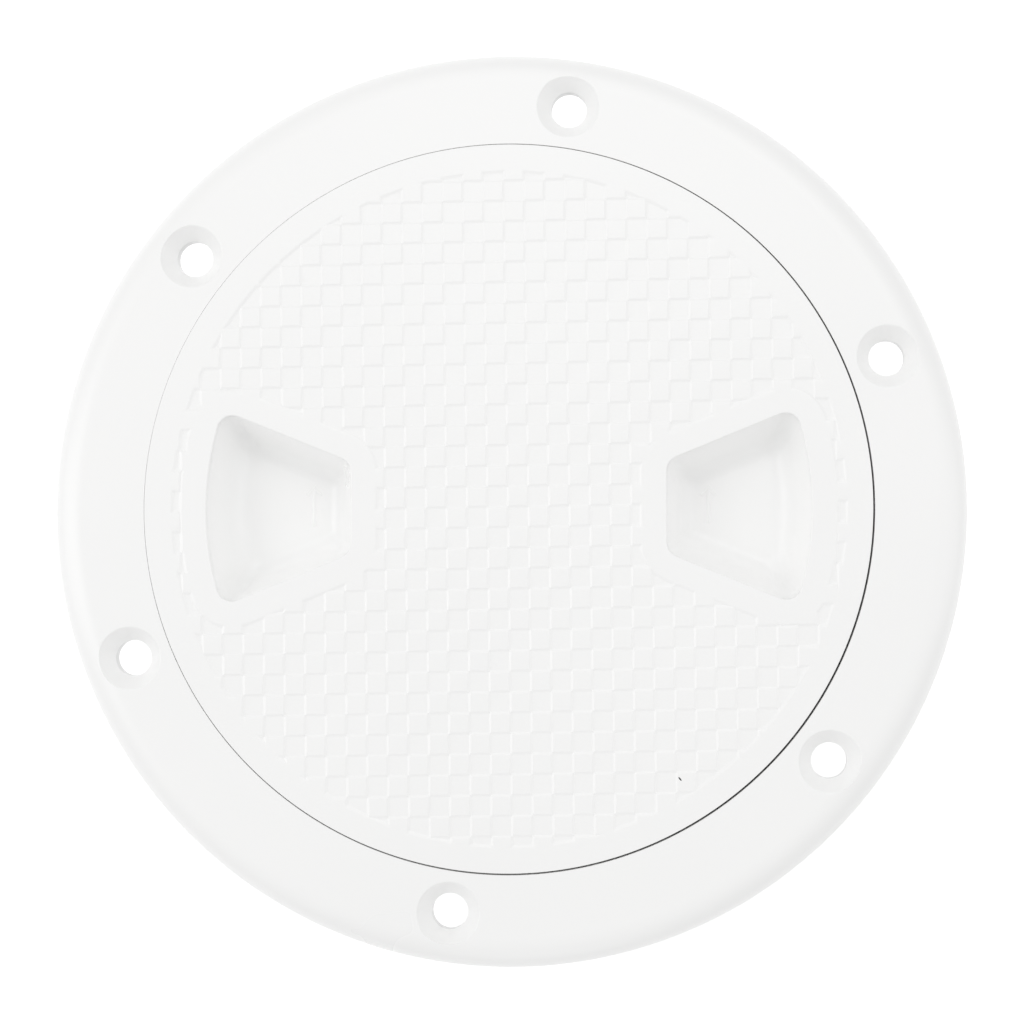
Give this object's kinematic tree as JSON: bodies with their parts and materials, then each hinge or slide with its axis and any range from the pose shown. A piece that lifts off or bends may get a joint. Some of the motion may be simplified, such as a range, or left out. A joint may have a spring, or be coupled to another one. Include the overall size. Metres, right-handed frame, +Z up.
{
  "type": "deck inspection plate",
  "caption": "Round white screw-out deck inspection plate: countersunk mounting ring with a threaded collar, flush non-skid lid with finger wells, and an O-ring seal.",
  "frame": {"origin": "centre of the collar's lower rim, on the axis of the plate", "axes": "+Z up along the plate's axis, out of the deck; the lid's finger wells lie along X when the lid is shut"},
  "size_m": [0.1428, 0.1428, 0.022],
  "materials": {
    "ring_plastic": "white moulded ABS, smooth, satin gloss",
    "lid_plastic": "white moulded ABS, satin gloss, with a shallow checkered non-skid field",
    "seal_rubber": "black moulded rubber, matte"
  },
  "bodies": {
    "ring": {"mounting_ring": "ring_plastic"},
    "seal": {"o_ring_seal": "seal_rubber"},
    "lid": {"lid": "lid_plastic"}
  },
  "joints": [
    {"name": "lid_lift", "type": "slide", "parent": "ring", "child": "seal", "axis": [0, 0, 1], "range_m": [0, 0.0113]},
    {"name": "lid_turn", "type": "hinge", "parent": "seal", "child": "lid", "pos_m": [0, 0, 0.022], "axis": [0, 0, 1], "range_deg": [0, 810]}
  ],
  "couplings": [
    {"joint": "lid_lift", "follows": "lid_turn", "m_per_rad": 0.00079577}
  ]
}
